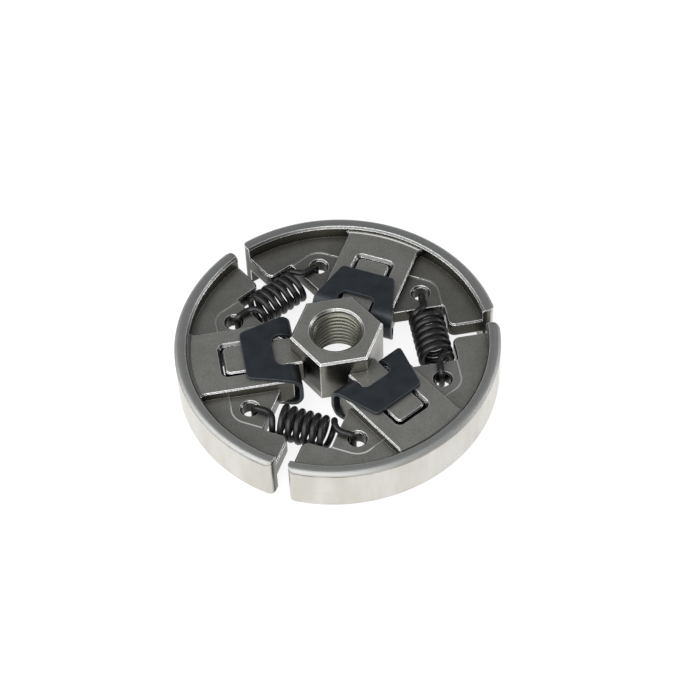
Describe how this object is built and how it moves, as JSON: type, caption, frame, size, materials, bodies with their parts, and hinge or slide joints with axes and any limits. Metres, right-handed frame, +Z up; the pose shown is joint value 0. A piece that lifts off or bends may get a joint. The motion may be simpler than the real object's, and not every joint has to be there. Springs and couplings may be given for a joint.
{
  "type": "chainsaw clutch",
  "caption": "Centrifugal chainsaw clutch: sintered friction shoes slide out on the arms of a hexagon hub against coil springs to grip a drum.",
  "frame": {"origin": "on the hub axis, level with the underside of the shoes", "axes": "+Z up along the hub axis towards the hexagon's spanner end; -X points along one arm"},
  "size_m": [0.076, 0.076, 0.016],
  "materials": {
    "carrier_steel": "matte, sintered",
    "shoe_steel": "matte, sintered, outer face turned bright",
    "black_sheet": "satin, blackened",
    "spring_wire": "satin, blackened"
  },
  "bodies": {
    "carrier_body": {"carrier": "carrier_steel", "spring_1": "spring_wire", "spring_2": "spring_wire", "spring_3": "spring_wire"},
    "shoe_1_body": {"shoe_1": "shoe_steel", "retainer_1": "black_sheet"},
    "shoe_2_body": {"shoe_2": "shoe_steel", "retainer_2": "black_sheet"},
    "shoe_3_body": {"shoe_3": "shoe_steel", "retainer_3": "black_sheet"}
  },
  "joints": [
    {"name": "shoe_1_slide", "type": "slide", "parent": "carrier_body", "child": "shoe_1_body", "axis": [0.5, 0.866, 0], "range_m": [0, 0.001], "stiffness_N_per_m": 2000, "springref_m": -0.002, "deforming": ["spring_1", "spring_3"]},
    {"name": "shoe_2_slide", "type": "slide", "parent": "carrier_body", "child": "shoe_2_body", "axis": [-1, 0, 0], "range_m": [0, 0.001], "stiffness_N_per_m": 2000, "springref_m": -0.002, "deforming": ["spring_1", "spring_2"]},
    {"name": "shoe_3_slide", "type": "slide", "parent": "carrier_body", "child": "shoe_3_body", "axis": [0.5, -0.866, 0], "range_m": [0, 0.001], "stiffness_N_per_m": 2000, "springref_m": -0.002, "deforming": ["spring_2", "spring_3"]}
  ]
}
